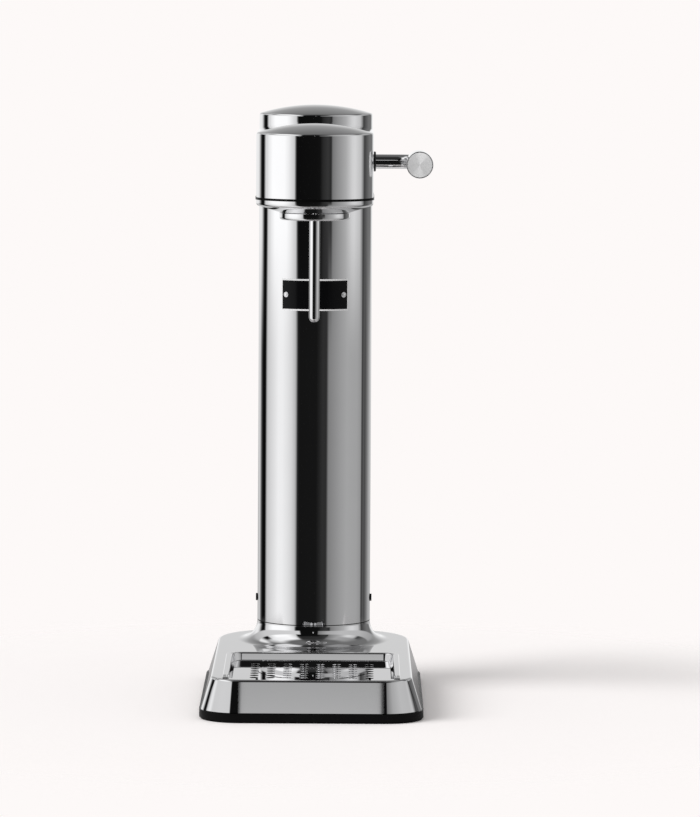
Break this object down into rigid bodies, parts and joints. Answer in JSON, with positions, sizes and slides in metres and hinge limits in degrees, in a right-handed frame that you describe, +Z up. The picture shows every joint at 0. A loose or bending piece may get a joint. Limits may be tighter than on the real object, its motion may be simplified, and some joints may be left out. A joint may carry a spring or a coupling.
{
  "type": "sparkling water maker",
  "caption": "Slim polished steel sparkling water maker with a tall column, a domed head with a nozzle tube, a side lever and a lift-off drip tray.",
  "frame": {"origin": "middle of the base's footprint, at the floor", "axes": "+X to the lever's side, -Y to the front with the nozzle and the tray, +Z up"},
  "size_m": [0.1589, 0.258, 0.4132],
  "materials": {
    "polished_steel": "mirror polished stainless steel",
    "turned_steel": "turned end face with a fine circular grain",
    "inner_steel": "plain machined steel",
    "screw_steel": "zinc plated steel",
    "dark_steel": "black coated steel",
    "aluminium": "satin aluminium",
    "brass": "machined brass",
    "copper_pipe": "drawn copper",
    "black_rubber": "matte black rubber",
    "black_plastic": "fine-grained black moulding",
    "black_enamel": "gloss black enamel"
  },
  "bodies": {
    "machine": {"rubber_foot": "black_rubber", "foot_screws": "screw_steel", "base_chassis": "dark_steel", "base_shell": "polished_steel", "column_spigot": "aluminium", "column_gasket": "black_rubber", "column_shell": "polished_steel", "side_screws": "dark_steel", "label_frame": "polished_steel", "label_plate": "black_enamel", "label_rivets": "polished_steel", "head_shell": "polished_steel", "head_gasket": "black_rubber", "head_cap": "polished_steel", "bottle_collar": "polished_steel", "collar_lugs": "polished_steel", "bottle_socket": "black_plastic", "bottle_seal": "black_rubber", "carbonation_tube": "polished_steel", "nozzle_tip": "polished_steel", "nozzle_block": "brass", "relief_valve": "brass", "gas_pipe": "copper_pipe", "pipe_nuts": "brass", "head_chassis": "inner_steel", "chassis_screws": "screw_steel", "valve_block": "aluminium", "cylinder_seal": "black_rubber", "gas_cylinder": "aluminium", "cylinder_valve": "brass", "lever_yoke": "inner_steel", "yoke_screws": "screw_steel", "lever_bush": "inner_steel", "lever_ring": "black_plastic"},
    "lever": {"lever_arm": "polished_steel", "lever_cam": "inner_steel", "cam_screw": "screw_steel", "shaft_clip": "screw_steel", "lever_knob": "polished_steel", "knob_cap": "turned_steel"},
    "plunger": {"valve_plunger": "inner_steel", "return_spring": "screw_steel"},
    "tray": {"tray_pan": "polished_steel", "tray_fascia": "polished_steel", "drip_basin": "black_plastic"}
  },
  "joints": [
    {"name": "lever_pull", "type": "hinge", "parent": "machine", "child": "lever", "pos_m": [0, 0.075, 0.373], "axis": [1, 0, 0], "range_deg": [0, 45], "stiffness_Nm_per_rad": 1, "springref_deg": -17.19},
    {"name": "plunger_press", "type": "slide", "parent": "machine", "child": "plunger", "axis": [0, 0, -1], "range_m": [0, 0.0033], "deforming": ["return_spring"]},
    {"name": "tray_lift", "type": "slide", "parent": "machine", "child": "tray", "axis": [0, 0, 1], "range_m": [0, 0.06]}
  ],
  "couplings": [
    {"joint": "plunger_press", "follows": "lever_pull", "m_per_rad": 0.00405}
  ]
}
